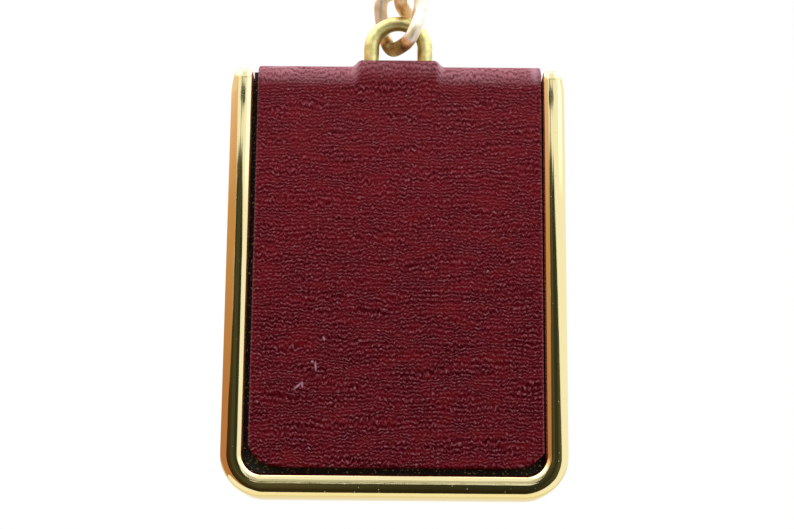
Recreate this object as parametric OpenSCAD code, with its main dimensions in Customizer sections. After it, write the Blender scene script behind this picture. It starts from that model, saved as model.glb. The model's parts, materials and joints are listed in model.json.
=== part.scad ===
// Rectangular pendant: a leather strip folded over a gold plated U frame,
// with a wire bail at the top and the last two links of its chain.
// Millimetres. +Z is up and the front looks along -Y. The origin is the inside
// top of the upper link, where the rest of the chain would pull.

/* [Frame] */
// Width over both side rails
frame_w = 30; // [24:0.5:40]
// Height from the bottom edge to the cut ends of the side rails
frame_h = 38.6; // [30:0.2:50]
// Depth over the front and the back of the rails
frame_d = 4; // [3.8:0.1:5]
// Width of a rail, seen from the front
rail_w = 2; // [1.8:0.1:2.6]
// Outer radius of the two bottom corners
corner_r = 3.7; // [2.8:0.1:5]
// Radius of a rail's outer edges
outer_edge_r = 0.6; // [0.4:0.05:0.8]
// Radius of a rail's inner edges
inner_edge_r = 0.5; // [0.3:0.05:0.5]
// Distance of the fine groove from the outer edge
groove_at = 1.15; // [1.05:0.01:1.2]
// Width of the groove at its mouth
groove_w = 0.1; // [0.06:0.02:0.16]
// Depth of the groove
groove_depth = 0.04; // [0.02:0.01:0.1]
// Thickness of the plate that joins the rails behind the leather
plate_t = 0.9; // [0.6:0.1:1]

/* [Leather] */
// Thickness of the leather
leather_t = 1.2; // [1:0.05:1.25]
// Gap between the strip and each side rail, if the strip sat in the middle
side_gap = 0.25; // [0.2:0.05:0.6]
// How far the strip sits to the right of the middle
side_shift = 0.15; // [0:0.05:0.15]
// Gap between the strip's lower edge and the bottom rail
foot_gap = 0.55; // [0.2:0.05:1]
// Radius of the strip's lower corners
leather_corner_r = 1.8; // [0.5:0.1:3]
// How far the fold stands above the ends of the rails
fold_rise = 0.65; // [0.2:0.05:1]
// Width of the flat top of the raised middle
hump_w = 6.7; // [6.6:0.1:9]
// Width of each sloping shoulder beside it
hump_shoulder = 0.8; // [0.5:0.1:1.2]
// Height of the raised middle above the fold
hump_h = 0.62; // [0.5:0.02:0.8]

/* [Bail] */
// Width over the bail's two legs
bail_w = 6.2; // [5.8:0.1:6.6]
// Wire diameter of the bail
bail_wire = 1.26; // [1.1:0.02:1.3]
// Height of the bail above the raised leather
bail_rise = 4.3; // [4.2:0.1:5]

/* [Chain links] */
// Wire diameter of a link
link_wire = 1.2; // [1:0.05:1.2]
// Half width of a link, to the middle of its wire
link_half_w = 2.2; // [2.15:0.05:2.4]
// Half length of a link, to the middle of its wire
link_half_l = 2.75; // [2.6:0.05:3.2]
// Squareness of a link: 2 is an ellipse and more is squarer
link_square = 3.4; // [2.6:0.1:4]
// Turn of a link's end against its middle, in degrees
link_twist = 20; // [10:1:25]

/* [Hidden] */

$fn = 48;
// Room between two pieces that lie against each other
play = 0.05;
// How far a cutting shape runs past the surface that it cuts
over = 1;

// A link's loop has this many straight stretches, and its wire this many sides
link_rings = 16;
link_sides = 6;
// Slack between the two links, and how far the upper one's foot stands to the right
link_slack = 0.7;
link_2_side = 0.2;
// The lower link: its place to the right of the middle, and its turn about the vertical
link_1_side = 0.18;
link_1_turn = -40;
link_2_turn = 97;
// Middle of the lower link's bottom wire above the centre of the bail's arch
link_1_lift = 0.15;

// The upper link leans so that its inside top is at the origin
link_2_reach = 2 * link_half_l - link_wire / 2;
link_2_lean = asin(link_2_side / link_2_reach);
link_2_drop = link_half_l - link_wire / 2;

// Heights, from the top down
link_1_top_z = link_wire + link_slack - link_2_reach * cos(link_2_lean);
link_1_z = link_1_top_z - link_half_l;
// Centre of the arch, which is also the axis that the pendant swings about
arch_z = link_1_z - link_half_l - link_1_lift;
arch_r = (bail_w - bail_wire) / 2;
hump_top_z = arch_z + bail_w / 2 - bail_rise;
fold_top_z = hump_top_z - hump_h;
frame_top_z = fold_top_z - fold_rise;
frame_bottom_z = frame_top_z - frame_h;

// Half the thickness of the plate's slot and of the folded strip
slot_half = plate_t / 2 + play;
leather_half = slot_half + leather_t;
leather_w = frame_w - 2 * rail_w - 2 * side_gap;
leather_bottom_z = frame_bottom_z + rail_w + foot_gap;
// The strip folds about the plate's top edge
fold_z = fold_top_z - leather_half;

// The bail's foot bar lies on the plate's top edge. Its two corners are bent, not sharp.
foot_bend = 0.9;
foot_z = fold_z + play + bail_wire / 2;
leg_h = arch_z - foot_z - foot_bend;
// The raised middle stands this much proud of the strip's front and back
hump_proud = 0.05;

// A round bar along x, centred in the middle plane
module bar(r, length, z) {
    translate([-length / 2, 0, z]) rotate([0, 90, 0]) cylinder(r = r, h = length);
}

// Turns an outline in x and z into a slab that is centred in the middle plane
module slab(thickness) {
    translate([0, thickness / 2, 0]) rotate([90, 0, 0]) linear_extrude(thickness) children();
}

// An outline in x and z with its two lower corners rounded
module panel_outline(w, bottom, top, r) {
    translate([-w / 2, bottom + r]) square([w, top - bottom - r]);
    translate([-w / 2 + r, bottom]) square([w - 2 * r, 2 * r]);
    for (side = [-1, 1]) translate([side * (w / 2 - r), bottom + r]) circle(r);
}

// Section of a rail. x is 0 at the outer edge and -rail_w beside the leather.
module rail_section() {
    difference() {
        translate([-rail_w, -frame_d / 2]) square([rail_w, frame_d]);
        rail_face_cuts();
        mirror([0, 1]) rail_face_cuts();
    }
}

module rail_face_cuts() {
    translate([-outer_edge_r, frame_d / 2 - outer_edge_r]) edge_cut(outer_edge_r);
    translate([-rail_w + inner_edge_r, frame_d / 2 - inner_edge_r])
        mirror([1, 0]) edge_cut(inner_edge_r);
    translate([-groove_at, frame_d / 2])
        polygon([[-groove_w / 2, 0], [-groove_w / 2, over], [groove_w / 2, over],
                 [groove_w / 2, 0], [0, -groove_depth]]);
}

// What rounding an edge takes away
module edge_cut(r) {
    difference() {
        square(r + over);
        circle(r);
    }
}

module right_half_rail() {
    translate([frame_w / 2, 0, frame_bottom_z + corner_r])
        linear_extrude(frame_h - corner_r) rail_section();
    translate([frame_w / 2 - corner_r, 0, frame_bottom_z + corner_r])
        rotate([90, 90, 0]) mirror([0, 0, 1])
            rotate_extrude(angle = 90) translate([corner_r, 0]) rail_section();
}

module bottom_rail() {
    length = frame_w - 2 * corner_r;
    translate([-length / 2, 0, frame_bottom_z])
        rotate([0, 90, 0]) linear_extrude(length) rail_section();
}

module frame() {
    // the plate runs to the middle of the rails, which are one piece with it
    sunk = rail_w / 2;
    color("#c9a347") union() {
        right_half_rail();
        mirror([1, 0, 0]) right_half_rail();
        bottom_rail();
        slab(plate_t)
            panel_outline(frame_w - 2 * sunk, frame_bottom_z + sunk, fold_z, corner_r - sunk);
    }
}

// The strip bulges over the bail's foot, flat on top with a sloping shoulder on each
// side that grows steeper down the front and the back
module hump() {
    r = leather_half + hump_proud;
    half_top = hump_w / 2;
    half_fold = half_top + hump_shoulder;
    half_foot = half_fold + hump_shoulder;
    intersection() {
        bar(r, 2 * half_foot, hump_top_z - r);
        slab(2 * r + over)
            polygon([[-half_foot, fold_z], [half_foot, fold_z],
                     [half_fold, fold_top_z], [half_top, hump_top_z],
                     [half_top, hump_top_z + over], [-half_top, hump_top_z + over],
                     [-half_top, hump_top_z], [-half_fold, fold_top_z]]);
    }
}

module leather() {
    color("#5f1d25") difference() {
        union() {
            translate([side_shift, 0, 0]) {
                slab(2 * leather_half)
                    panel_outline(leather_w, leather_bottom_z, fold_z, leather_corner_r);
                bar(leather_half, leather_w, fold_z);
            }
            hump();
        }
        // the slot for the plate, round where the leather folds
        slab(2 * slot_half) translate([-frame_w / 2, frame_bottom_z])
            square([frame_w, fold_z - frame_bottom_z]);
        bar(slot_half, frame_w, fold_z);
        // the pocket for the bail's foot
        translate([0, 0, arch_z]) bail_loop(bail_wire / 2 + play);
    }
}

// The bail's closed loop of wire, with the centre of its arch at the origin
module bail_loop(wire_r) {
    rotate([90, 0, 0])
        rotate_extrude(angle = 180) translate([arch_r, 0]) circle(wire_r);
    for (side = [0, 1]) mirror([side, 0, 0]) {
        translate([arch_r, 0, -leg_h]) cylinder(r = wire_r, h = leg_h);
        translate([arch_r - foot_bend, 0, -leg_h]) rotate([90, 90, 0]) mirror([0, 0, 1])
            rotate_extrude(angle = 90) translate([foot_bend, 0]) circle(wire_r);
    }
    bar(wire_r, 2 * (arch_r - foot_bend), -leg_h - foot_bend);
}

module bail() {
    color("#d9ca86") translate([0, 0, arch_z]) bail_loop(bail_wire / 2);
}

// The middle line of a link's wire. The loop is a rounded rectangle, given by its
// distance from the centre in each direction, and it is twisted about its long axis.
function loop_reach(t) =
    pow(pow(abs(cos(t)) / link_half_w, link_square)
        + pow(abs(sin(t)) / link_half_l, link_square), -1 / link_square);
function loop_turn(t) = link_twist * loop_reach(t) * sin(t) / link_half_l;
function loop_point(t) =
    let (across = loop_reach(t) * cos(t), turn = loop_turn(t))
    [across * cos(turn), across * sin(turn), loop_reach(t) * sin(t)];

function unit(v) = v / norm(v);

// The corners of the wire's section at one place, square to the middle line
function wire_ring(t) =
    let (ahead = unit(loop_point(t + 1) - loop_point(t - 1)),
         across_plane = [-sin(loop_turn(t)), cos(loop_turn(t)), 0],
         out = unit(cross(ahead, across_plane)),
         side = cross(out, ahead))
    [for (i = [0:link_sides - 1])
        let (a = 360 * i / link_sides)
        loop_point(t) + link_wire / 2 * (out * cos(a) + side * sin(a))];

module link_loop() {
    points = [for (k = [0:link_rings - 1]) each wire_ring(360 * k / link_rings)];
    function at(k, i) = (k % link_rings) * link_sides + i % link_sides;
    faces = [for (k = [0:link_rings - 1], i = [0:link_sides - 1])
        each [[at(k, i), at(k + 1, i), at(k + 1, i + 1)],
              [at(k, i), at(k + 1, i + 1), at(k, i + 1)]]];
    polyhedron(points, faces);
}

module link_1() {
    color("#d3c193") translate([link_1_side, 0, link_1_z])
        rotate([0, 0, link_1_turn]) link_loop();
}

module link_2() {
    color("#d3c193") rotate([0, -link_2_lean, 0]) translate([0, 0, -link_2_drop])
        rotate([0, 0, link_2_turn]) link_loop();
}

frame();
leather();
bail();
link_1();
link_2();
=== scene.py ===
# %% [markdown]
# Leather pendant in a gold plated frame
#
# The pendant is a flat U frame of polished, gold plated brass. A strip of burgundy
# leather is folded over the plate between its rails, and a wire bail comes out of the
# fold and hangs in two twisted chain links. This lesson dresses the five solids of the
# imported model. Lengths are written in millimetres, as a jeweller would measure them, and
# turned to metres at the very end of each piece.

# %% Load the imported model
import json
import math

import bmesh
import bpy
from mathutils import Matrix, Vector, noise


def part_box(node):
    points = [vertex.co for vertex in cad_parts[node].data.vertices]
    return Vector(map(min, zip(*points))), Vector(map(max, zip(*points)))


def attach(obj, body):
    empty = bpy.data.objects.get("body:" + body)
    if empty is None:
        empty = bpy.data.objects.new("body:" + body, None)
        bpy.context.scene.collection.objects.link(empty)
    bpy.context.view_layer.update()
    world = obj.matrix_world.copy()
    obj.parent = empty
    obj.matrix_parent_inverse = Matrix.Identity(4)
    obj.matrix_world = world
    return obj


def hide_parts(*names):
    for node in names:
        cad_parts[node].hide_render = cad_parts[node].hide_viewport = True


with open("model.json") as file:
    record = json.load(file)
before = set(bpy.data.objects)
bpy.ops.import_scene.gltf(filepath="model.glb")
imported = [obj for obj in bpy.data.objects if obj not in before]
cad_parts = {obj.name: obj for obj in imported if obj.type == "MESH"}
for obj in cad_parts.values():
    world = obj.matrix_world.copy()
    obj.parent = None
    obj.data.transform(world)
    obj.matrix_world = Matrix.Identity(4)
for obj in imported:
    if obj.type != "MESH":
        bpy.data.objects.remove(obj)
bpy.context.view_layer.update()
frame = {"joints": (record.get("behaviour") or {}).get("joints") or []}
scene = bpy.context.scene
MM = 0.001

# %% [markdown]
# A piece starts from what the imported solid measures, so that it sits exactly where the
# solid does. Everything else is a small named size. The origin is the inside top of the
# upper link, +Z is up and the front looks along -Y.

# %% Measure the solids


def box_mm(node):
    """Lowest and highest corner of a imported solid, in millimetres."""
    low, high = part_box(node)
    return Vector(low) / MM, Vector(high) / MM


frame_low, frame_high = box_mm("frame")
leather_low, leather_high = box_mm("leather")
bail_low, bail_high = box_mm("bail")
arch_z = frame["joints"][0]["pos_m"][2] / MM

# Where the plate between the rails ends: under the folded leather and its raised middle
LEATHER_T = 1.2
SLOT_HALF = 0.5
HUMP_H = 0.62
PLATE_TOP = leather_high.z - HUMP_H - (SLOT_HALF + LEATHER_T)

# Points that are nearer than this count as lying in the same place
TOUCH = 0.001

print("frame from", frame_low, "to", frame_high)
print("leather from", leather_low, "to", leather_high)
print("centre of the bail's arch at z", round(arch_z, 3))

# %% [markdown]
# Each piece is shaped as a bmesh, the editor's own mesh kept in memory. One helper turns
# the finished bmesh into an object: it merges doubled points, turns all faces outwards,
# scales millimetres to metres and marks as sharp the edges that are steeper than a limit.

# %% Helpers that finish a mesh


def as_piece(name, mesh, sharp_from=35):
    """Makes an object at the origin from a bmesh in millimetres."""
    bmesh.ops.remove_doubles(mesh, verts=mesh.verts, dist=0.0005)
    bmesh.ops.recalc_face_normals(mesh, faces=mesh.faces)
    bmesh.ops.scale(mesh, vec=(MM, MM, MM), verts=mesh.verts)
    data = bpy.data.meshes.new(name)
    mesh.to_mesh(data)
    mesh.free()
    data.shade_smooth()
    data.set_sharp_from_angle(angle=math.radians(sharp_from))
    piece = bpy.data.objects.new(name, data)
    scene.collection.objects.link(piece)
    open_edges = sum(1 for count in edge_uses(data).values() if count != 2)
    print(name, "has", len(data.polygons), "faces and", open_edges, "open edges")
    return piece


def edge_uses(data):
    """How many faces use each edge of a mesh."""
    uses = {}
    for face in data.polygons:
        for edge in face.edge_keys:
            uses[edge] = uses.get(edge, 0) + 1
    return uses


def verts_of(geometry):
    return [item for item in geometry if isinstance(item, bmesh.types.BMVert)]


def edges_of(geometry):
    return [item for item in geometry if isinstance(item, bmesh.types.BMEdge)]


def ring_of(edges):
    """The points of a ring of edges."""
    return list({v for e in edges for v in e.verts})


def scale_about(mesh, verts, centre, factors):
    """Scales points about a centre of their own."""
    space = Matrix.Translation(-Vector(centre))
    bmesh.ops.scale(mesh, vec=factors, space=space, verts=verts)


def draw_on(mesh, edges, step):
    """Extrudes edges by a step and gives the new edges."""
    made = bmesh.ops.extrude_edge_only(mesh, edges=edges)["geom"]
    bmesh.ops.translate(mesh, vec=step, verts=verts_of(made))
    return edges_of(made)


def spin_on(mesh, edges, centre, angle, steps):
    """Extrudes edges round an axis along y and gives the last edges."""
    turned = bmesh.ops.spin(
        mesh, geom=edges, cent=centre, axis=(0, 1, 0), dvec=(0, 0, 0), angle=angle,
        steps=steps, use_merge=False, use_duplicate=False)
    return edges_of(turned["geom_last"])


def smooth(value):
    """0 up to 0, 1 from 1, and a soft step between."""
    value = min(1.0, max(0.0, value))
    return value * value * (3 - 2 * value)


# %% [markdown]
# The frame is one sweep. A rail has the same section all the way round the U, like
# drawn wire: rounded edges, a face that is crowned by a few degrees, and a hairline groove
# along its middle. The section could be drawn as a curve with a bevel object, but a
# mesh keeps the plate and the rails one closed solid. So the half section is a chain of
# a few corner points, and bevelling its corners gives the round edges.

# %% Section of a rail
RAIL_W = 2.0
FRONT = -frame_high.y
PLATE_HALF = 0.45

OUTER_ROUND = 0.6
INNER_ROUND = 0.5
CROWN_AT = 1.05
CROWN_R = 3.5
GROOVE_AT = 1.15
GROOVE_HALF = 0.05
GROOVE_DEPTH = 0.003
FACE_STEPS = 18
FACE_DEPTH = 1.0
SHADED_WALL_HALF = 1.5


def half_section(side):
    """Corner points of one half of the section: inward distance, depth, round radius."""
    front = side * abs(FRONT)
    step = (RAIL_W - INNER_ROUND - OUTER_ROUND) / FACE_STEPS
    face = [(OUTER_ROUND + step * k, front, 0.0) for k in range(1, FACE_STEPS)]
    return [
        (0.0, front, OUTER_ROUND),
        *face,
        (RAIL_W, front, INNER_ROUND),
        (RAIL_W, side * PLATE_HALF, 0.0),
    ]


def face_drop(inward):
    """How far the face lies below its crown: the crown's curve and the hairline groove."""
    groove = max(0.0, 1 - abs(inward - GROOVE_AT) / GROOVE_HALF)
    return (inward - CROWN_AT) ** 2 / (2 * CROWN_R) + GROOVE_DEPTH * groove


def rail_section(mesh, z):
    """The whole section as one face, on the left rail at height z."""
    corners = half_section(-1) + half_section(1)[::-1]
    verts = []
    for inward, depth, _ in corners:
        verts.append(mesh.verts.new((frame_low.x + inward, depth, z)))
    mesh.faces.new(verts)
    for radius in (OUTER_ROUND, INNER_ROUND):
        chosen = [v for v, corner in zip(verts, corners) if corner[2] == radius]
        bmesh.ops.bevel(
            mesh, geom=chosen, offset=radius, offset_type="OFFSET", affect="VERTICES",
            segments=9, profile=0.5, material=-1)
    # Painted shade: the inner wall and the plate, in the gap beside the leather, are marked to be
    # painted near black
    gap_shade = mesh.verts.layers.float.new("gap_shade")
    across = mesh.verts.layers.float.new("across")
    for vert in mesh.verts:
        inward = vert.co.x - frame_low.x
        vert[across] = inward
        on_wall = inward > RAIL_W - TOUCH and abs(vert.co.y) < SHADED_WALL_HALF
        vert[gap_shade] = 1.0 if on_wall else 0.0
        if abs(vert.co.y) > FACE_DEPTH:
            vert.co.y -= math.copysign(face_drop(inward), vert.co.y)


probe = bmesh.new()
rail_section(probe, 0.0)
print("the section has", len(probe.verts), "points in", len(probe.faces), "face")
probe.free()

# %% [markdown]
# The sweep starts at the cut end of the left rail and goes down, round the corner, along
# the bottom, round the other corner and up. Extrude makes the straight runs and spin the
# corners. The cut ends are worn round, so the first and last millimetre of the sweep
# shrink towards the middle of the rail.

# %% Sweep the section round the frame
CORNER_R = 3.7
CORNER_STEPS = 18
END_LENGTH = 1.03
END_STEPS = 8
END_SIDE = 0.34
END_DEPTH = 0.5
END_NOTCH = 0.16
NOTCH_HALF = 0.5
TAPER_LENGTH = 2.4
TAPER_SIDE = 0.22
TAPER_STEPS = 5
TAPER_FROM = 0.75
TAPER_OVER = 0.65
BOTTOM_LEAN = 0.066


def end_factor(reach):
    """How far the worn end has drawn in, from 0 where it starts to 1 at the very end."""
    return 1 - math.sqrt(max(0.0, 1 - reach * reach))


def end_scale(reach):
    return 1 - END_SIDE * end_factor(reach), 1 - END_DEPTH / abs(FRONT) * end_factor(reach)


def notch_ends(mesh):
    """Files a shallow notch across each end, so that the groove parts it in two lobes."""
    for vert in mesh.verts:
        reach = (vert.co.z - frame_high.z + END_LENGTH) / END_LENGTH
        if reach > 0:
            inward = abs(frame_high.x) - abs(vert.co.x)
            nearness = max(0.0, 1 - abs(inward - GROOVE_AT) / NOTCH_HALF)
            vert.co.z -= END_NOTCH * nearness * reach ** 4


def lean_bottom(mesh):
    """Polishes the bottom rail's face to lean back at its top, by a little under 4 degrees."""
    layer = mesh.verts.layers.float["across"]
    for vert in mesh.verts:
        beside = max(0.0, abs(vert.co.x) - frame_high.x + CORNER_R)
        below = max(0.0, frame_low.z + CORNER_R - vert.co.z)
        turned = math.atan2(below, beside) / (math.pi / 2)
        if abs(vert.co.y) > FACE_DEPTH:
            lean = BOTTOM_LEAN * (vert[layer] - CROWN_AT) * smooth(turned)
            vert.co.y *= 1 - lean / abs(vert.co.y)


def taper_tips(mesh):
    """Draws the outer side of both rails in a little towards their tips."""
    layer = mesh.verts.layers.float["across"]
    for vert in mesh.verts:
        share = smooth((vert.co.z - frame_high.z + TAPER_LENGTH) / TAPER_LENGTH)
        pull = TAPER_SIDE * share * smooth((TAPER_FROM - vert[layer]) / TAPER_OVER)
        vert.co.x -= math.copysign(pull, vert.co.x)


def round_end(mesh, edges, middle, reaches):
    """Draws rings on along a worn end, each scaled about the middle of the rail."""
    for before, reach in zip(reaches, reaches[1:]):
        edges = draw_on(mesh, edges, (0, 0, END_LENGTH * (reach - before)))
        was, now = end_scale(before), end_scale(reach)
        factors = (now[0] / was[0], now[1] / was[1], 1)
        scale_about(mesh, ring_of(edges), (middle, 0, 0), factors)
    return edges


def rail_frame():
    mesh = bmesh.new()
    rail_section(mesh, frame_high.z)
    reaches = [math.sin(math.pi / 2 * (1 - k / END_STEPS)) for k in range(END_STEPS + 1)]
    left = frame_low.x + RAIL_W / 2
    right = frame_high.x - RAIL_W / 2
    end_z = frame_high.z - END_LENGTH
    taper_z = frame_high.z - TAPER_LENGTH
    corner_z = frame_low.z + CORNER_R
    scale_about(mesh, mesh.verts[:], (left, 0, 0), (*end_scale(1.0), 1))
    edges = round_end(mesh, mesh.edges[:], left, reaches)
    edges = draw_on(mesh, edges, (0, 0, PLATE_TOP - end_z))
    for _ in range(TAPER_STEPS):
        edges = draw_on(mesh, edges, (0, 0, (taper_z - PLATE_TOP) / TAPER_STEPS))
    edges = draw_on(mesh, edges, (0, 0, corner_z - taper_z))
    for x, run in ((frame_low.x + CORNER_R, frame_high.x - frame_low.x - 2 * CORNER_R),
                   (frame_high.x - CORNER_R, 0)):
        edges = spin_on(mesh, edges, (x, 0, corner_z), -math.pi / 2, CORNER_STEPS)
        if run:
            edges = draw_on(mesh, edges, (run, 0, 0))
    edges = draw_on(mesh, edges, (0, 0, taper_z - corner_z))
    for _ in range(TAPER_STEPS):
        edges = draw_on(mesh, edges, (0, 0, (PLATE_TOP - taper_z) / TAPER_STEPS))
    edges = draw_on(mesh, edges, (0, 0, end_z - PLATE_TOP))
    edges = round_end(mesh, edges, right, reaches[::-1])
    bmesh.ops.contextual_create(mesh, geom=edges)
    taper_tips(mesh)
    notch_ends(mesh)
    lean_bottom(mesh)
    return mesh


# %% [markdown]
# A thin plate joins the rails behind the leather. It is soldered in, so it belongs to the
# same solid. The strip of wall between the plate's two faces is taken out of the inner
# side of the rails, and the open rims are filled across: front, back and top edge. The top
# edge lies just under the bail's foot. Beside the leather it stands higher, in two ears that
# fill the gap next to each rail. The plate and the ears are painted near black, so the ears
# are dark sheets that stand in for the shade in that gap.

# %% Set the plate between the rails
EAR_RISE = 1.02
EAR_PLAY = 0.05


def on_inner_wall(vert):
    """True for a point where the plate's front or back face meets the rails."""
    return abs(abs(vert.co.y) - PLATE_HALF) < TOUCH and vert.co.z < PLATE_TOP + TOUCH


def on_plate_top(face):
    """True for a face of the plate's top edge."""
    return all(abs(v.co.z - PLATE_TOP) < TOUCH and abs(v.co.y) < PLATE_HALF + TOUCH
               for v in face.verts)


def raise_ears(mesh):
    """Draws the plate's top up beside the leather, from each rail to just short of it: dark sheets
    that stand in for the shade in the gap.
    """
    for side in (leather_low.x - EAR_PLAY, leather_high.x + EAR_PLAY):
        faces = [f for f in mesh.faces if on_plate_top(f)]
        around = {e for f in faces for e in f.edges} | {v for f in faces for v in f.verts}
        bmesh.ops.bisect_plane(mesh, geom=faces + list(around), dist=0.0001,
                               plane_co=(side, 0, 0), plane_no=(1, 0, 0))
    ears = [f for f in mesh.faces if on_plate_top(f)
            and not leather_low.x < f.calc_center_median().x < leather_high.x]
    risen = verts_of(bmesh.ops.extrude_face_region(mesh, geom=ears)["geom"])
    bmesh.ops.translate(mesh, vec=(0, 0, EAR_RISE), verts=risen)
    print("raised", len(ears), "ears beside the leather")
    # Extruding has left the old faces inside the ears
    bmesh.ops.delete(mesh, geom=ears, context="FACES_ONLY")


def set_plate(mesh):
    """Opens the inner walls between the plate's faces, and fills the rims across."""
    walls = [f for f in mesh.faces if len(f.verts) == 4 and all(map(on_inner_wall, f.verts))]
    bmesh.ops.delete(mesh, geom=walls, context="FACES")
    tops = [v for v in mesh.verts if on_inner_wall(v) and abs(v.co.z - PLATE_TOP) < TOUCH]
    for depth in (-PLATE_HALF, PLATE_HALF):
        ends = [v for v in tops if abs(v.co.y - depth) < TOUCH]
        mesh.edges.new(ends)
        rim = [e for e in mesh.edges
               if all(on_inner_wall(v) and abs(v.co.y - depth) < TOUCH for v in e.verts)]
        bmesh.ops.contextual_create(mesh, geom=rim)
    bmesh.ops.contextual_create(mesh, geom=tops)
    raise_ears(mesh)
    print("took", len(walls), "faces out of the inner wall for the plate")


frame_mesh = rail_frame()
set_plate(frame_mesh)
gold_frame = as_piece("gold_frame", frame_mesh, sharp_from=40)

# %% [markdown]
# The leather is a strip that was cut flat and folded over the plate. It is modelled in
# the same order: a flat grid, its corners trimmed with the knife, a thickness, a softened
# rim, and then the fold. `along` runs up the front, over the fold and down the back.

# %% Cut the flat strip
FOLD_R = SLOT_HALF + LEATHER_T / 2
FOLD_Z = PLATE_TOP
FRONT_RUN = FOLD_Z - leather_low.z
FOLD_RUN = math.pi * FOLD_R
STRIP_LENGTH = 2 * FRONT_RUN + FOLD_RUN
STRIP_LEFT = leather_low.x
STRIP_RIGHT = leather_high.x
GRID_ACROSS = 96
GRID_ALONG = 224

# Knife cuts at the lower corners: distance in from the side, and up from the lower edge
CUT_LEFT = [(0.0, 1.85), (0.35, 1.12), (1.05, 0.47), (1.83, 0.15), (3.2, 0.0)]
CUT_RIGHT = [(0.0, 1.35), (0.42, 0.86), (0.87, 0.48), (1.42, 0.24), (2.25, 0.07), (3.1, 0.0)]


def trim(mesh, points, corner_x, corner_along, inward, upward):
    """Cuts a corner off along a chain of points, with one straight cut for each pair."""
    for (in_a, up_a), (in_b, up_b) in zip(points, points[1:]):
        a = Vector((corner_x + inward * in_a, 0, corner_along + upward * up_a))
        b = Vector((corner_x + inward * in_b, 0, corner_along + upward * up_b))
        away = Vector((-(up_a - up_b) * inward, 0, -(in_b - in_a) * upward))
        bmesh.ops.bisect_plane(
            mesh, geom=mesh.verts[:] + mesh.edges[:] + mesh.faces[:], dist=0.0001,
            plane_co=(a + b) / 2, plane_no=away.normalized(), clear_outer=True)


def flat_strip():
    """The strip before the fold: x across, z along, its outer face at y = 0."""
    mesh = bmesh.new()
    lay_flat = Matrix.Rotation(math.pi / 2, 4, "X")
    bmesh.ops.create_grid(mesh, x_segments=GRID_ACROSS, y_segments=GRID_ALONG, size=0.5,
                          matrix=lay_flat)
    bmesh.ops.scale(mesh, vec=(STRIP_RIGHT - STRIP_LEFT, 1, STRIP_LENGTH), verts=mesh.verts)
    middle = ((STRIP_LEFT + STRIP_RIGHT) / 2, 0, STRIP_LENGTH / 2)
    bmesh.ops.translate(mesh, vec=middle, verts=mesh.verts)
    trim(mesh, CUT_LEFT, STRIP_LEFT, 0, 1, 1)
    trim(mesh, CUT_RIGHT, STRIP_RIGHT, 0, -1, 1)
    trim(mesh, CUT_LEFT, STRIP_LEFT, STRIP_LENGTH, 1, -1)
    trim(mesh, CUT_RIGHT, STRIP_RIGHT, STRIP_LENGTH, -1, -1)
    return mesh


strip = flat_strip()
print("the flat strip is", round(STRIP_LENGTH, 1), "mm long, with", len(strip.faces), "faces")

# %% [markdown]
# Extruding the whole grid gives the strip its thickness, and a small bevel along the rim
# is the softened cut edge. The thickness runs along y: the outer face is at 0 and the
# inner one behind it at the leather's thickness.

# %% Give the strip its thickness and rim
RIM = 0.16


def thicken(mesh):
    made = bmesh.ops.extrude_face_region(mesh, geom=mesh.faces[:], use_keep_orig=True)
    bmesh.ops.translate(mesh, vec=(0, LEATHER_T, 0), verts=verts_of(made["geom"]))
    bmesh.ops.recalc_face_normals(mesh, faces=mesh.faces)
    rim = []
    for edge in mesh.edges:
        on_face = all(abs(v.co.y) < TOUCH for v in edge.verts)
        if on_face and len(edge.link_faces) == 2 and edge.calc_face_angle() > 1:
            rim.append(edge)
    bmesh.ops.bevel(mesh, geom=rim, offset=RIM, offset_type="OFFSET", affect="EDGES",
                    segments=3, profile=0.5, material=-1)
    print("softened", len(rim), "rim edges")


thicken(strip)

# %% [markdown]
# The fold turns the strip about the plate's top edge. A point keeps its place across, and
# its distance along the strip becomes a height on the front, an angle round the fold or a
# height on the back. The raised middle covers the bail's foot: it lifts the fold between
# two sloping shoulders, and fades out down the front and the back.

# %% Fold the strip and raise its middle
HUMP_TOP_HALF = 3.37
HUMP_FOOT_HALF = 4.16
HUMP_FADE = 2.4
HUMP_PROUD = 0.05
POCKET_PLAY = 0.16
WAVE_DEPTH = 0.035
WAVE_LENGTH = 3.2

# How strong the painted highlights and the painted light towards the fold are at each place, and
# the width of the highlight along the cut edge
PALED_FOLD = 0.66
PALED_HUMP = 0.26
PALED_SHOULDER = 0.4
PALED_NEAR = 0.15
PALED_EDGE = 0.4
EDGE_WIDTH = 0.3


def hump_at(x):
    """1 over the bail's foot and 0 beside it, with a sloping shoulder between."""
    return smooth((HUMP_FOOT_HALF - abs(x)) / (HUMP_FOOT_HALF - HUMP_TOP_HALF))


def fold_point(x, inside, along):
    """Where a point of the flat strip goes when the strip is folded."""
    beyond = max(0.0, FRONT_RUN - along, along - FRONT_RUN - FOLD_RUN)
    lift = hump_at(x) * (1 - smooth(beyond / HUMP_FADE))
    outer = SLOT_HALF + LEATHER_T + HUMP_PROUD * lift
    inner = SLOT_HALF + POCKET_PLAY * lift
    share = inside / LEATHER_T
    radius = outer + (inner - outer) * share
    wave = noise.noise(Vector((x, along * 0.8, 7.0)) / WAVE_LENGTH)
    radius -= WAVE_DEPTH * (0.5 + wave) * (1 - share) * smooth(beyond / 1.5)
    angle = min(math.pi, max(0.0, (along - FRONT_RUN) / FOLD_R))
    height = FOLD_Z - beyond + (HUMP_H - HUMP_PROUD) * lift
    return Vector((x, -radius * math.cos(angle), height + radius * math.sin(angle)))


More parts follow.
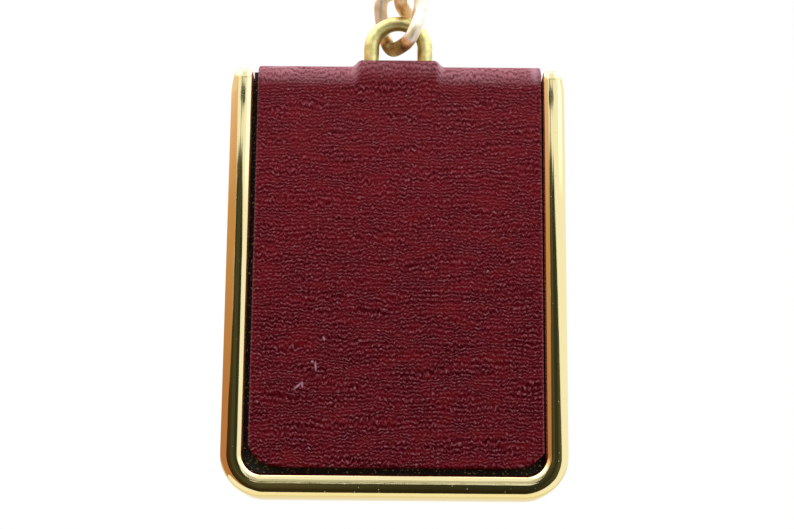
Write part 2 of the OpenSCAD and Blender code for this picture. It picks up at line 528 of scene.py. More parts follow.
def painted_highlight_at(x, along):
    """How strong the painted highlight is: on the fold, its shoulders and the cut edges, over a
    painted light that grows towards the fold.
    """
    past = min(along, STRIP_LENGTH - along) - FRONT_RUN
    band = smooth((past + 0.9) / 1.6) * (1 - 0.4 * smooth((past - 0.9) / 0.6))
    uneven = 1 + 0.45 * noise.noise(Vector((x / 1.6, along / 1.1, 3.0)))
    shoulder = 4 * hump_at(x) * (1 - hump_at(x)) * smooth((past + 1.0) / 1.0)
    # Painted light that grows up the front and the back towards the fold
    light_towards_fold = PALED_NEAR * smooth((past + 27) / 24)
    # Painted highlight along the rounded cut edges
    edge = PALED_EDGE * (1 - smooth(min(x - STRIP_LEFT, STRIP_RIGHT - x) / EDGE_WIDTH))
    paled = PALED_FOLD - (PALED_FOLD - PALED_HUMP) * hump_at(x)
    fold_highlight = band * paled + PALED_SHOULDER * shoulder
    return min(1.0, max(edge, light_towards_fold + fold_highlight * uneven))


def fold(mesh):
    # Where the leather carries painted highlights, kept on each point before the fold moves it
    painted_highlight = mesh.verts.layers.float.new("painted_highlight")
    on_strip = mesh.verts.layers.float_vector.new("on_strip")
    for vert in mesh.verts:
        vert[on_strip] = vert.co
        vert[painted_highlight] = painted_highlight_at(vert.co.x, vert.co.z)
        vert.co = fold_point(vert.co.x, vert.co.y, vert.co.z)


fold(strip)
leather = as_piece("leather_strip", strip, sharp_from=60)

# %% [markdown]
# The bail is a closed loop of brass wire that has worn a little at the crown, where the
# link rubs. A circle of wire is spun over the arch a step at a time, and each step scales
# the circle a little, so that the crown comes out thinner than the legs. The hidden foot
# lies in the fold of the leather. An attribute marks the inside of the arch, which is
# painted brown as shade, darkest under the crown.

# %% Bend the bail
LEG_X = 2.425
LEG_D = 1.37
CROWN_D = 1.33
FOOT_D = 1.2
FOOT_BEND = 0.9
FOOT_PLAY = 0.03
FOOT_STEPS = 8
ARCH_STEPS = 32
WIRE_SIDES = 28


def bail_loop():
    mesh = bmesh.new()
    centre_z = bail_high.z - CROWN_D / 2 - LEG_X
    leg_z = bail_low.z + FOOT_D / 2 + FOOT_PLAY + FOOT_BEND
    half_leg = (leg_z - centre_z) / 2
    bmesh.ops.create_circle(mesh, cap_ends=False, radius=LEG_D / 2, segments=WIRE_SIDES,
                            matrix=Matrix.Translation((-LEG_X, 0, centre_z)))
    edges = mesh.edges[:]
    thickness = LEG_D
    for step in range(1, ARCH_STEPS + 1):
        edges = spin_on(mesh, edges, (0, 0, centre_z), math.pi / ARCH_STEPS, 1)
        angle = math.pi * step / ARCH_STEPS
        wanted = LEG_D - (LEG_D - CROWN_D) * math.sin(angle)
        centre = (-LEG_X * math.cos(angle), 0, centre_z + LEG_X * math.sin(angle))
        scale_about(mesh, ring_of(edges), centre, (wanted / thickness,) * 3)
        thickness = wanted
    edges = draw_on(mesh, edges, (0, 0, half_leg))
    edges = draw_on(mesh, edges, (0, 0, half_leg))
    scale_about(mesh, ring_of(edges), (LEG_X, 0, leg_z), (FOOT_D / LEG_D,) * 3)
    for x, run in ((LEG_X - FOOT_BEND, -2 * (LEG_X - FOOT_BEND)), (-LEG_X + FOOT_BEND, 0)):
        edges = spin_on(mesh, edges, (x, 0, leg_z), math.pi / 2, FOOT_STEPS)
        if run:
            edges = draw_on(mesh, edges, (run, 0, 0))
    edges = draw_on(mesh, edges, (0, 0, -half_leg))
    scale_about(mesh, ring_of(edges), (-LEG_X, 0, 0), (LEG_D / FOOT_D, LEG_D / FOOT_D, 1))
    draw_on(mesh, edges, (0, 0, -half_leg))
    return mesh


def mark_inside(mesh):
    """Marks painted shade on the side of the wire that faces the middle of the loop, most under
    the crown.
    """
    arch_shade = mesh.verts.layers.float.new("arch_shade")
    centre_z = bail_high.z - CROWN_D / 2 - LEG_X
    for vert in mesh.verts:
        up = max(0.0, vert.co.z - centre_z)
        inner = (LEG_X - math.hypot(vert.co.x, up)) / (CROWN_D / 2)
        share = 0.08 + 0.6 * smooth(up / 1.6)
        vert[arch_shade] = share * smooth((inner - 0.3) / 0.6)


bail_mesh = bail_loop()
mark_inside(bail_mesh)
bail = as_piece("wire_bail", bail_mesh)

# %% [markdown]
# A chain link is a ring of wire that is pressed to a rounded rectangle and then twisted
# about its long axis, so that it lies flat between its neighbours. Spinning a circle all
# the way round gives a plain ring, and its points are then moved on to the link's line.
# The plain ring tells each point where it is: the angle round the ring, how far out of the
# wire's middle it lies, and how far to the side. The wire is upset a little on the inside
# of the bends, as bending does, and an attribute marks them, because there the links rub.

# %% Form a link
WIRE_D = 1.2
LINK_HALF_W = 2.2
LINK_HALF_L = 2.75
LINK_SQUARE = 3.4
LINK_TWIST = math.radians(20)
RING_R = 4.0
RING_STEPS = 96
RING_SIDES = 24
BEND_SWELL = 0.12


def reach_at(turn):
    """Distance of the link's line from its centre, a rounded rectangle."""
    wide = abs(math.cos(turn)) / LINK_HALF_W
    long = abs(math.sin(turn)) / LINK_HALF_L
    return (wide ** LINK_SQUARE + long ** LINK_SQUARE) ** (-1 / LINK_SQUARE)


def line_at(turn):
    across = reach_at(turn) * math.cos(turn)
    height = reach_at(turn) * math.sin(turn)
    twist = LINK_TWIST * height / LINK_HALF_L
    return Vector((across * math.cos(twist), across * math.sin(twist), height))


def bend_at(turn):
    """1 at the link's two bends and 0 along its straight limbs."""
    return smooth((abs(math.sin(turn)) - 0.72) / 0.25)


def wear_at(turn):
    """Where the plate has worn off: the bends, and a little way up one limb."""
    if math.sin(turn) > 0:
        return 0.25 * smooth((math.sin(turn) - 0.8) / 0.18)
    return smooth((-math.sin(turn) - 0.2 * math.cos(turn) - 0.6) / 0.3)


def wire_point(turn, outward, sideways):
    """A point of the link's wire, from its place on the plain ring."""
    outward += BEND_SWELL * bend_at(turn) * (outward / WIRE_D - 0.5)
    ahead = (line_at(turn + 0.01) - line_at(turn - 0.01)).normalized()
    twist = LINK_TWIST * reach_at(turn) * math.sin(turn) / LINK_HALF_L
    flat = Vector((-math.sin(twist), math.cos(twist), 0))
    out = flat.cross(ahead).normalized()
    return line_at(turn) + out * outward + ahead.cross(out) * sideways


def link_ring(wear):
    """A twisted link, standing up, with its centre at the origin, and its bends worn."""
    mesh = bmesh.new()
    stand = Matrix.Translation((RING_R, 0, 0))
    bmesh.ops.create_circle(mesh, cap_ends=False, radius=WIRE_D / 2, segments=RING_SIDES,
                            matrix=stand)
    bmesh.ops.spin(mesh, geom=mesh.edges[:], cent=(0, 0, 0), axis=(0, 1, 0), dvec=(0, 0, 0),
                   angle=2 * math.pi, steps=RING_STEPS, use_merge=True, use_duplicate=False)
    worn = mesh.verts.layers.float.new("worn")
    for vert in mesh.verts:
        turn = math.atan2(vert.co.z, vert.co.x)
        outward = math.hypot(vert.co.x, vert.co.z) - RING_R
        vert[worn] = wear * wear_at(turn)
        vert.co = wire_point(turn, outward, vert.co.y)
    return mesh


# %% [markdown]
# The two links are the same ring in two places. The lower one is turned to stand in the
# bail, and the upper one leans a little because the chain pulls it to the right.

# %% Place the two links
LOW_SIDE = 0.18
LOW_TURN = math.radians(-40)
LOW_CENTRE = arch_z + 0.15 + LINK_HALF_L
HIGH_TURN = math.radians(97)
HIGH_LEAN = math.asin(0.5 / (2 * LINK_HALF_L - WIRE_D / 2))
HIGH_DROP = LINK_HALF_L - WIRE_D / 2

low_ring = link_ring(1.0)
low_place = Matrix.Translation((LOW_SIDE, 0, LOW_CENTRE)) @ Matrix.Rotation(LOW_TURN, 4, "Z")
bmesh.ops.transform(low_ring, matrix=low_place, verts=low_ring.verts)
low_link = as_piece("chain_link_1", low_ring)

high_ring = link_ring(0.5)
high_place = (Matrix.Rotation(-HIGH_LEAN, 4, "Y") @ Matrix.Translation((0, 0, -HIGH_DROP))
              @ Matrix.Rotation(HIGH_TURN, 4, "Z"))
bmesh.ops.transform(high_ring, matrix=high_place, verts=high_ring.verts)
high_link = as_piece("chain_link_2", high_ring)

# %% [markdown]
# Materials are node trees. A few helpers serve them all: one turns an sRGB hex colour, as a
# colour picker shows it, to the linear light that a shader adds up, and one adds a node
# with its settings and links in a single line. Two more mix colours and start a material.

# %% Helpers for materials


def linear(hex_colour):
    """An sRGB colour such as "aabbcc" as linear red, green, blue and alpha."""
    channels = [int(hex_colour[i:i + 2], 16) / 255 for i in (0, 2, 4)]
    light = [c / 12.92 if c <= 0.04045 else ((c + 0.055) / 1.055) ** 2.4 for c in channels]
    return (*light, 1.0)


def add(tree, kind, inputs=None, **settings):
    """Adds a node. An input is given a number or colour, or another node's socket."""
    node = tree.nodes.new(kind)
    for name, value in settings.items():
        setattr(node, name, value)
    for name, value in (inputs or {}).items():
        if isinstance(value, bpy.types.NodeSocket):
            tree.links.new(value, node.inputs[name])
        else:
            node.inputs[name].default_value = value
    return node


def blend(tree, share, under, over):
    """Mixes two colours: `under` where share is 0 and `over` where it is 1."""
    mix = add(tree, "ShaderNodeMix", {0: share, 6: under, 7: over}, data_type="RGBA")
    return mix.outputs[2]


def new_material(name):
    """An empty material, its node tree and its object coordinates in millimetres."""
    material = bpy.data.materials.new(name)
    material.use_nodes = True
    tree = material.node_tree
    tree.nodes.clear()
    place = add(tree, "ShaderNodeTexCoord").outputs["Object"]
    in_mm = add(tree, "ShaderNodeVectorMath", {0: place, 1: (1 / MM,) * 3}, operation="MULTIPLY")
    return material, tree, in_mm.outputs[0]


# %% [markdown]
# Gold plate on polished brass. The plate is a micron thick and takes the polish of the
# brass below, so it is a near mirror that shows mostly what stands around it. What makes
# it look real is wear: hair scratches that follow the rails, and fine specks of dust. In
# the gap beside the leather, the plate and the inner walls of the rails are painted near
# black as shade, with a few painted golden glints.

# %% Polished gold plate
gold_plate, tree, mm = new_material("polished_gold_plate")
across = add(tree, "ShaderNodeAttribute", attribute_name="across")
place = add(tree, "ShaderNodeSeparateXYZ", {0: mm})
run = add(tree, "ShaderNodeMath", {0: place.outputs[0], 1: place.outputs[2]}, operation="ADD")
rail_place = add(tree, "ShaderNodeCombineXYZ", {
    0: across.outputs["Fac"], 1: place.outputs[1], 2: run.outputs[0]})
combed = add(tree, "ShaderNodeMapping", {
    "Vector": rail_place.outputs[0], "Scale": (12, 12, 0.3)})
hairs = add(tree, "ShaderNodeTexNoise", {
    "Vector": combed.outputs[0], "Scale": 1.0, "Detail": 3.0, "Roughness": 0.6})
rough = add(tree, "ShaderNodeMapRange", {
    "Value": hairs.outputs[0], "From Min": 0.4, "From Max": 0.75,
    "To Min": 0.02, "To Max": 0.08})
bumps = add(tree, "ShaderNodeBump", {
    "Strength": 0.045, "Distance": 0.00002, "Height": hairs.outputs[0]})
gold = add(tree, "ShaderNodeBsdfPrincipled", {
    "Base Color": linear("f6e8b0"), "Metallic": 1.0, "Roughness": rough.outputs[0],
    "Normal": bumps.outputs[0]})
# Dust grains of 0.07 mm, on about one in four of the cells of a 0.4 mm pattern
grains = add(tree, "ShaderNodeTexVoronoi", {"Vector": mm, "Scale": 2.4})
chance = add(tree, "ShaderNodeSeparateColor", {0: grains.outputs["Color"]})
picked = add(tree, "ShaderNodeMath", {
    0: chance.outputs[0], 1: 0.72}, operation="GREATER_THAN")
grain = add(tree, "ShaderNodeMapRange", {
    "Value": grains.outputs["Distance"], "From Min": 0.08, "From Max": 0.13,
    "To Min": 0.8, "To Max": 0.0})
dusty = add(tree, "ShaderNodeMath", {
    0: grain.outputs[0], 1: picked.outputs[0]}, operation="MULTIPLY")
dust = add(tree, "ShaderNodeBsdfPrincipled", {"Base Color": linear("c9c3a4"), "Roughness": 0.8})
gold = add(tree, "ShaderNodeMixShader", {
    0: dusty.outputs[0], 1: gold.outputs[0], 2: dust.outputs[0]})
# Painted shade in the gap: where the walls and the plate are marked, a near black rough coat with
# a few painted golden glints takes the place of the gold
gap_glint_noise = add(tree, "ShaderNodeTexNoise", {"Vector": mm, "Scale": 4.5, "Detail": 3.0})
gap_glint = add(tree, "ShaderNodeMapRange", {
    "Value": gap_glint_noise.outputs[0], "From Min": 0.6, "From Max": 0.67})
gap_shade_and_glints = blend(tree, gap_glint.outputs[0], linear("1a130c"), linear("c8b070"))
gap_shade_coat = add(tree, "ShaderNodeBsdfPrincipled", {
    "Base Color": gap_shade_and_glints, "Roughness": 0.7})
gap_shade = add(tree, "ShaderNodeAttribute", attribute_name="gap_shade")
# The gold, mixed with the painted shade of the gap
worn = add(tree, "ShaderNodeMixShader", {
    0: gap_shade.outputs["Fac"], 1: gold.outputs[0], 2: gap_shade_coat.outputs[0]})
add(tree, "ShaderNodeOutputMaterial", {"Surface": worn.outputs[0]})

# %% [markdown]
# Bookbinding calf, dyed burgundy and glazed. The grain was boarded one way: the skin is
# folded on itself and rolled, which presses fine creases into it, here across the strip and
# about 0.4 mm apart. The crease height gives bumps and also sets the colour: dark in the
# creases, partly dye that sits there and partly painted shade, and a painted pinkish
# highlight on the crests. The pattern follows the strip's own flat coordinates, which were
# kept as an attribute before the fold, so that the creases go round it unstretched. A wave
# texture has the even spacing of boarding, and its distortion breaks the lines up.

# %% Glazed burgundy calf leather
CREASE_SPACING = 0.38

calf, tree, _ = new_material("glazed_burgundy_calf")
strip_place = add(tree, "ShaderNodeAttribute", attribute_name="on_strip").outputs["Vector"]
sway = add(tree, "ShaderNodeMapping", {"Vector": strip_place, "Scale": (0.25, 0.25, 0.5)})
drift = add(tree, "ShaderNodeTexNoise", {"Vector": sway.outputs[0], "Scale": 1.0, "Detail": 2.0})
bent = add(tree, "ShaderNodeVectorMath", {
    0: drift.outputs["Color"], 1: (0.5, 0.5, 0.5)}, operation="SUBTRACT")
bent = add(tree, "ShaderNodeVectorMath", {
    0: bent.outputs[0], 1: (0.0, 0.0, 1.4), 2: strip_place}, operation="MULTIPLY_ADD")
lying = add(tree, "ShaderNodeMapping", {"Vector": bent.outputs[0], "Scale": (3.6, 3.6, 1.0)})
creases = add(tree, "ShaderNodeTexWave", {
    "Vector": lying.outputs[0], "Scale": math.pi / 10 / CREASE_SPACING, "Distortion": 8.0,
    "Detail": 3.0, "Detail Scale": 0.8, "Detail Roughness": 0.65},
    wave_type="BANDS", bands_direction="Z", wave_profile="SIN")
fading = add(tree, "ShaderNodeTexNoise", {
    "Vector": lying.outputs[0], "Scale": 1.4, "Detail": 2.0})
strength = add(tree, "ShaderNodeMapRange", {
    "Value": fading.outputs[0], "From Min": 0.35, "From Max": 0.65,
    "To Min": 0.2, "To Max": 0.85})
crest = add(tree, "ShaderNodeMath", {0: creases.outputs["Fac"], 1: 0.5}, operation="SUBTRACT")
crest = add(tree, "ShaderNodeMath", {
    0: crest.outputs[0], 1: strength.outputs[0]}, operation="MULTIPLY")
fine = add(tree, "ShaderNodeMapping", {"Vector": bent.outputs[0], "Scale": (4.4, 4.4, 8.0)})
pores = add(tree, "ShaderNodeTexNoise", {
    "Vector": fine.outputs[0], "Scale": 1.0, "Detail": 2.0, "Roughness": 0.6})
pore = add(tree, "ShaderNodeMapRange", {
    "Value": pores.outputs[0], "From Min": 0.3, "From Max": 0.7,
    "To Min": 0.1, "To Max": 0.9})
height = add(tree, "ShaderNodeMath", {
    0: crest.outputs[0], 1: pore.outputs[0]}, operation="ADD")
# Painted light and shade by crease height: dark in the creases, partly dye and partly painted
# shade, and a painted pinkish highlight on the crests
crest_light_tint = add(tree, "ShaderNodeValToRGB", {0: height.outputs[0]})
crest_light_tint.color_ramp.elements[0].position = 0.1
crest_light_tint.color_ramp.elements[0].color = linear("2e0008")
crest_light_tint.color_ramp.elements[1].position = 1.0
crest_light_tint.color_ramp.elements[1].color = linear("865864")
for place, shade in ((0.56, "530b15"), (0.84, "76303c")):
    crest_light_tint.color_ramp.elements.new(place).color = linear(shade)
gloss = add(tree, "ShaderNodeMapRange", {
    "Value": height.outputs[0], "From Min": 0.2, "From Max": 0.9,
    "To Min": 0.0, "To Max": 0.1})
# The dye took unevenly: redder and duller patches a few millimetres long
blotch = add(tree, "ShaderNodeMapping", {"Vector": strip_place, "Scale": (0.3, 0.3, 0.9)})
patches = add(tree, "ShaderNodeTexNoise", {
    "Vector": blotch.outputs[0], "Scale": 1.0, "Detail": 4.0, "Roughness": 0.65})
redder = add(tree, "ShaderNodeMapRange", {
    "Value": patches.outputs[0], "From Min": 0.42, "From Max": 0.68,
    "To Min": 0.0, "To Max": 0.5})
dye_and_crest_light = blend(tree, redder.outputs[0], crest_light_tint.outputs[0], linear("78161c"))
# Painted highlights on the fold, its shoulders and the cut edges, and painted light towards the
# fold: paler and pinker, most on the crests
painted_highlight = add(tree, "ShaderNodeAttribute", attribute_name="painted_highlight")
catch = add(tree, "ShaderNodeMapRange", {
    "Value": height.outputs[0], "From Min": 0.1, "From Max": 0.8, "To Min": 0.45, "To Max": 1.4})
paled = add(tree, "ShaderNodeMath", {
    0: painted_highlight.outputs["Fac"], 1: catch.outputs[0]}, operation="MULTIPLY", use_clamp=True)
highlight_strength = add(tree, "ShaderNodeMapRange", {
    "Value": painted_highlight.outputs["Fac"], "From Min": 0.12, "From Max": 0.4})
highlight_colour = blend(tree, highlight_strength.outputs[0], linear("a02c38"), linear("a86a76"))
pale = blend(tree, paled.outputs[0], dye_and_crest_light, highlight_colour)
# Painted glints: crests that are brighter here and there
glints = add(tree, "ShaderNodeMapping", {"Vector": strip_place, "Scale": (1.7, 1.7, 2.4)})
glint = add(tree, "ShaderNodeTexNoise", {"Vector": glints.outputs[0], "Scale": 1.0, "Detail": 2.0})
glint = add(tree, "ShaderNodeMapRange", {
    "Value": glint.outputs[0], "From Min": 0.56, "From Max": 0.7})
on_crest = add(tree, "ShaderNodeMapRange", {
    "Value": height.outputs[0], "From Min": 0.62, "From Max": 0.92, "To Max": 0.4})
glint = add(tree, "ShaderNodeMath", {
    0: glint.outputs[0], 1: on_crest.outputs[0]}, operation="MULTIPLY")
pale = blend(tree, glint.outputs[0], pale, linear("a88a90"))
# Scuffs and painted highlights: where each is on the strip, how far it reaches along and
# aside, how it is turned and how pale it is. Five are short scuffs, and four are painted
# highlights that lie on the fold, at its corners and beside the bail.
for x, along, reach, aside, turn, paleness in (
        (-8.43, 6.98, 0.62, 0.11, -43.0, 1.5), (-8.03, 7.12, 0.36, 0.11, 88.0, 1.5),
        (-6.9, 8.75, 0.55, 0.11, 86.0, 1.5), (-6.22, 11.2, 0.28, 0.11, 68.0, 1.5),
        (-7.2, 9.15, 0.16, 0.11, 0.0, 1.5), (12.3, 35.6, 1.1, 0.5, 84.0, 1.0),
        (-10.8, 36.1, 1.5, 0.4, 0.0, 0.8), (-3.8, 36.0, 0.9, 0.4, -70.0, 1.1),
        (3.8, 36.0, 0.9, 0.4, 70.0, 1.0)):
    scuff_and_highlight = add(tree, "ShaderNodeMapping", {
        "Vector": strip_place, "Location": (x, 0.0, along),
        "Rotation": (0.0, math.radians(turn), 0.0), "Scale": (reach, 1.0, aside)},
        vector_type="TEXTURE")
    scuff_and_highlight = add(tree, "ShaderNodeTexGradient", {
        "Vector": scuff_and_highlight.outputs[0]}, gradient_type="SPHERICAL")
    scuff_and_highlight = add(tree, "ShaderNodeMath", {
        0: scuff_and_highlight.outputs["Fac"], 1: paleness}, operation="MULTIPLY", use_clamp=True)
    pale = blend(tree, scuff_and_highlight.outputs[0], pale, linear("b08896"))
relief = add(tree, "ShaderNodeBump", {
    "Strength": 1.0, "Distance": 0.00003, "Height": height.outputs[0]})
skin = add(tree, "ShaderNodeBsdfPrincipled", {
    "Base Color": pale, "Roughness": 0.5, "Specular IOR Level": gloss.outputs[0],
    "Normal": relief.outputs[0]})
add(tree, "ShaderNodeOutputMaterial", {"Surface": skin.outputs[0]})

# %% [markdown]
# The bail is brass whose plate has worn off. Bare brass is paler and greener than gold,
# and years of rubbing leave it satin, not bright. Two things break its evenness: olive
# tarnish in soft patches, and painted brown shade on the inside of the arch.

# %% Worn satin brass
worn_brass, tree, mm = new_material("worn_satin_brass")
rub = add(tree, "ShaderNodeTexNoise", {"Vector": mm, "Scale": 1.3, "Detail": 5.0})
patch = add(tree, "ShaderNodeMapRange", {
    "Value": rub.outputs[0], "From Min": 0.35, "From Max": 0.65})
tone = blend(tree, patch.outputs[0], linear("cfc987"), linear("f6eba8"))
flecks = add(tree, "ShaderNodeTexNoise", {"Vector": mm, "Scale": 6.0, "Detail": 2.0})
fleck = add(tree, "ShaderNodeMapRange", {
    "Value": flecks.outputs[0], "From Min": 0.6, "From Max": 0.74, "To Min": 0.0, "To Max": 0.35})
tone = blend(tree, fleck.outputs[0], tone, linear("8a8450"))
# Painted shade: brown on the inside of the arch, darkest under the crown
arch_shade = add(tree, "ShaderNodeAttribute", attribute_name="arch_shade")
tone = blend(tree, arch_shade.outputs["Fac"], tone, linear("6a4c1e"))
satin = add(tree, "ShaderNodeMapRange", {
    "Value": flecks.outputs[0], "From Min": 0.3, "From Max": 0.7, "To Min": 0.36, "To Max": 0.5})
pits = add(tree, "ShaderNodeBump", {
    "Strength": 0.4, "Distance": 0.00003, "Height": flecks.outputs[0]})
brass = add(tree, "ShaderNodeBsdfPrincipled", {
    "Base Color": tone, "Metallic": 1.0, "Roughness": satin.outputs[0],
    "Normal": pits.outputs[0]})
add(tree, "ShaderNodeOutputMaterial", {"Surface": brass.outputs[0]})

# %% [markdown]
# The links are thinly plated brass: a pale, nearly silver gold on the limbs. Towards the
# bends, where one link saws in the next, the plate has worn thin and the coppery coat
# below it shows, and on the bends themselves the bare brass has gone brown. Tarnish is half
# matte, so two metals of one colour are mixed, one satin and one nearly without gloss.

# %% Tarnished link brass
link_brass, tree, mm = new_material("tarnished_link_brass")
rub = add(tree, "ShaderNodeTexNoise", {"Vector": mm, "Scale": 0.9, "Detail": 4.0})
patch = add(tree, "ShaderNodeMapRange", {
    "Value": rub.outputs[0], "From Min": 0.38, "From Max": 0.62})
plate = blend(tree, patch.outputs[0], linear("ece2c8"), linear("fffcf2"))
bare = blend(tree, patch.outputs[0], linear("766030"), linear("ccac70"))
worn_here = add(tree, "ShaderNodeAttribute", attribute_name="worn")
spread = add(tree, "ShaderNodeMath", {
    0: rub.outputs[0], 1: 0.9, 2: worn_here.outputs["Fac"]}, operation="MULTIPLY_ADD")
thin = add(tree, "ShaderNodeMapRange", {
    "Value": spread.outputs[0], "From Min": 0.72, "From Max": 0.98})
tone = blend(tree, thin.outputs[0], plate, linear("f0c690"))
worn_off = add(tree, "ShaderNodeMapRange", {
    "Value": spread.outputs[0], "From Min": 1.12, "From Max": 1.36})
tone = blend(tree, worn_off.outputs[0], tone, bare)
dull = add(tree, "ShaderNodeMapRange", {
    "Value": worn_off.outputs[0], "From Min": 0.0, "From Max": 1.0,
    "To Min": 0.36, "To Max": 0.42})
satin_side = add(tree, "ShaderNodeBsdfPrincipled", {
    "Base Color": tone, "Metallic": 1.0, "Roughness": dull.outputs[0]})
matte_side = add(tree, "ShaderNodeBsdfPrincipled", {
    "Base Color": tone, "Metallic": 1.0, "Roughness": 0.85})
brass = add(tree, "ShaderNodeMixShader", {
    0: 0.5, 1: satin_side.outputs[0], 2: matte_side.outputs[0]})
add(tree, "ShaderNodeOutputMaterial", {"Surface": brass.outputs[0]})

# %% [markdown]
# The studio is white all round, as in a light tent. Polished metal only shows what it
# reflects, so the things in the tent matter: the dark opening in front that the camera
# looks through, a warm card on the left, a seam above the opening, and bright lamps high
# on both sides. They are drawn by direction in the world's own nodes, so that they light
# every view alike. The camera itself sees plain white behind the pendant.

# %% Light the studio
world = bpy.data.worlds.new("light_tent")
world.use_nodes = True
scene.world = world
tree = world.node_tree
tree.nodes.clear()
direction = add(tree, "ShaderNodeTexCoord").outputs["Generated"]
parts = add(tree, "ShaderNodeSeparateXYZ", {0: direction})
forward = add(tree, "ShaderNodeMath", {0: parts.outputs[1], 1: -1.0}, operation="MULTIPLY")
azimuth = add(tree, "ShaderNodeMath", {
    0: parts.outputs[0], 1: forward.outputs[0]}, operation="ARCTAN2")
azimuth = add(tree, "ShaderNodeMath", {0: azimuth.outputs[0]}, operation="DEGREES")
elevation = add(tree, "ShaderNodeMath", {0: parts.outputs[2]}, operation="ARCSINE")
elevation = add(tree, "ShaderNodeMath", {0: elevation.outputs[0]}, operation="DEGREES")


def band(value, low, high, soft):
    """1 where a value lies between two limits, with a soft change at both."""
    rise = add(tree, "ShaderNodeMapRange", {
        "Value": value, "From Min": low - soft, "From Max": low + soft},
        interpolation_type="SMOOTHSTEP")
    fall = add(tree, "ShaderNodeMapRange", {
        "Value": value, "From Min": high - soft, "From Max": high + soft,
        "To Min": 1.0, "To Max": 0.0}, interpolation_type="SMOOTHSTEP")
    between = add(tree, "ShaderNodeMath", {
        0: rise.outputs[0], 1: fall.outputs[0]}, operation="MULTIPLY")
    return between.outputs[0]


def both(a, b, operation="MULTIPLY"):
    return add(tree, "ShaderNodeMath", {0: a, 1: b}, operation=operation).outputs[0]


def excess(value, limit, sign=1):
    """How far a value lies above a limit, or below it where sign is -1, and else 0."""
    over = both(both(value, limit, "SUBTRACT"), sign)
    return both(over, 0.0, "MAXIMUM")


def colours_by(value, low, high, stops):
    """A row of colours along a value, each with its place between low and high."""
    share = add(tree, "ShaderNodeMapRange", {"Value": value, "From Min": low, "From Max": high})
    ramp = add(tree, "ShaderNodeValToRGB", {0: share.outputs[0]})
    points = ramp.color_ramp.elements
    while len(points) < len(stops):
        points.new(0.5)
    for point, (at, colour) in zip(points, stops):
        point.position = (at - low) / (high - low)
        point.color = linear(colour)
    return ramp.outputs[0]


azimuth, elevation = azimuth.outputs[0], elevation.outputs[0]

# The opening's top is an arc, highest 3.3 degrees to the left and steeper on the right. Its
# left edge meets the warm card and leans away below, and its lower end is round.
from_peak = both(azimuth, 3.3, "ADD")
from_peak = both(from_peak, both(from_peak, -0.4), "MAXIMUM")
arc = both(both(both(from_peak, from_peak), 0.021), elevation, "ADD")
low_down = excess(elevation, 13.0, -1)
lean = both(both(both(low_down, low_down), 0.35), 12.0, "MINIMUM")
leaning = both(lean, azimuth, "ADD")
below = both(elevation, both(both(azimuth, azimuth), 0.05), "SUBTRACT")
opening = both(band(leaning, -13.5, 90.0, 0.8), band(arc, -90.0, 17.2, 0.35))
opening = both(opening, band(below, -66.0, 90.0, 2.0))
inside = colours_by(azimuth, -20.0, 20.0, [
    (-16.0, "4a2f18"), (-10.0, "3c3a24"), (-4.0, "524e3a"), (0.0, "3a392a"),
    (5.0, "2c3026"), (10.0, "4a4a34"), (15.0, "5c5a44")])
deep = add(tree, "ShaderNodeMapRange", {
    "Value": elevation, "From Min": 9.0, "From Max": -8.0, "To Max": 0.8})
inside = blend(tree, deep.outputs[0], inside, linear("2a210f"))

# The card is paler where it stands high, and taller at its far end
card_edge = both(both(excess(elevation, 16.0), 1.3), azimuth, "ADD")
card_top = both(excess(azimuth, -22.0, -1), 0.5)
card_top = both(elevation, both(card_top, 16.0, "MINIMUM"), "SUBTRACT")
warm_card = both(band(card_edge, -150.0, -14.0, 0.8), band(card_top, -40.0, 19.8, 0.5))
card = colours_by(elevation, 8.0, 20.0, [
    (8.5, "bc815a"), (15.4, "cc9a68"), (18.7, "ebbfa6"), (19.8, "f6dcc0")])

# A seam of the tent hangs over the opening, with a knot in it that faces both rails
seam = both(band(azimuth, -7.2, -3.8, 0.8), band(elevation, 17.0, 19.6, 0.2))
aside = both(both(azimuth, 2.5, "ADD"), 1 / 7.5)
aloft = both(both(elevation, 18.72, "SUBTRACT"), 1 / 0.34)
knot = band(both(both(aside, aside), both(aloft, aloft), "ADD"), -1.0, 1.0, 0.3)
dim_roof = both(band(azimuth, -9.0, 10.0, 2.0), band(elevation, 19.4, 26.0, 0.1))

# Behind the pendant the lower part of the tent is cream
turned_away = both(azimuth, azimuth)
behind = band(turned_away, 120.0 ** 2, 200.0 ** 2, 3000.0)
behind_low = both(behind, band(elevation, -80.0, -3.0, 5.0))

right_light = both(band(azimuth, 10.0, 150.0, 3.0), band(elevation, 30.0, 120.0, 4.0))
left_light = both(band(azimuth, -150.0, -9.0, 3.0), band(elevation, 30.0, 120.0, 4.0))
window = both(band(azimuth, 21.0, 75.0, 3.0), band(elevation, 16.5, 24.0, 1.0))
lights = both(both(right_light, left_light, "ADD"), both(window, 0.6), "ADD")
power = add(tree, "ShaderNodeMath", {0: lights, 1: 1.2, 2: 1.0}, operation="MULTIPLY_ADD")
tent = blend(tree, warm_card, (1.0, 1.0, 1.0, 1.0), card)
for where, shade in (
        (dim_roof, linear("c4c4c0")), (behind_low, linear("efe2c2")),
        (seam, linear("aaa890")), (opening, inside), (knot, linear("232e1c"))):
    tent = blend(tree, where, tent, shade)
glow = add(tree, "ShaderNodeBackground", {
    "Color": tent, "Strength": power.outputs[0]})
plain = add(tree, "ShaderNodeBackground", {"Color": (1.0, 1.0, 1.0, 1.0), "Strength": 1.0})
seen = add(tree, "ShaderNodeLightPath").outputs["Is Camera Ray"]
shown = add(tree, "ShaderNodeMixShader", {0: seen, 1: glow.outputs[0], 2: plain.outputs[0]})
add(tree, "ShaderNodeOutputWorld", {"Surface": shown.outputs[0]})
scene.view_settings.view_transform = "Standard"

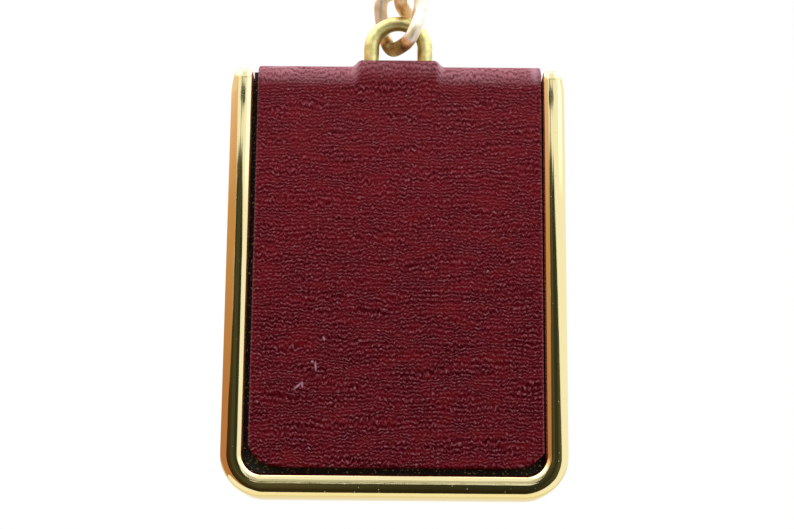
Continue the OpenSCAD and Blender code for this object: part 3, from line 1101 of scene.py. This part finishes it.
# %% [markdown]
# The pendant hangs a metre and a half above a plain pale floor. It lies well below the
# picture, and lights the underside of the frame.

# %% Lay the floor
FLOOR_Z = -1500.0
FLOOR_HALF = 750.0
floor_mesh = bmesh.new()
bmesh.ops.create_grid(floor_mesh, x_segments=1, y_segments=1, size=FLOOR_HALF,
                      matrix=Matrix.Translation((0, 0, FLOOR_Z)))
floor = as_piece("studio_floor", floor_mesh)
paper, tree, _ = new_material("pale_paper")
sheet = add(tree, "ShaderNodeBsdfPrincipled", {
    "Base Color": linear("cbc6b4"), "Roughness": 0.9})
add(tree, "ShaderNodeOutputMaterial", {"Surface": sheet.outputs[0]})
floor.data.materials.append(paper)

# %% [markdown]
# The camera stands a little to the right of the pendant and below it, and looks up. Its
# place and its three angles were worked out from how the frame's sides draw together
# towards the top of the picture.

# %% Set the camera
CAMERA_AT = Vector((0.85, -161.74, -68.14))
TILT_UP = math.radians(13.643)
TURN_LEFT = math.radians(0.276)
ROLL = math.radians(0.542)

camera = bpy.data.objects.new("camera", bpy.data.cameras.new("camera"))
scene.collection.objects.link(camera)
camera.data.lens = 85
camera.data.sensor_width = 36
camera.data.clip_start = 0.01
camera.data.clip_end = 20
camera.location = CAMERA_AT * MM
aim = (Matrix.Rotation(TURN_LEFT, 4, "Z") @ Matrix.Rotation(math.pi / 2 + TILT_UP, 4, "X")
       @ Matrix.Rotation(ROLL, 4, "Z"))
camera.rotation_euler = aim.to_euler()
scene.camera = camera

# %% [markdown]
# Last, each piece is hung on the moving body it rides on, and the imported solid it stands
# for is hidden. Each row also names a finish of the record.

# %% Hang the pieces on their bodies
gold_frame.data.materials.append(gold_plate)
leather.data.materials.append(calf)
bail.data.materials.append(worn_brass)
low_link.data.materials.append(link_brass)
high_link.data.materials.append(link_brass)

for piece, body, node, slot in (
        (gold_frame, "pendant", "frame", "gold_plate"),
        (leather, "pendant", "leather", "burgundy_leather"),
        (bail, "pendant", "bail", "worn_brass"),
        (low_link, "chain", "link_1", "link_brass"),
        (high_link, "chain", "link_2", "link_brass")):
    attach(piece, body)
    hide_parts(node)
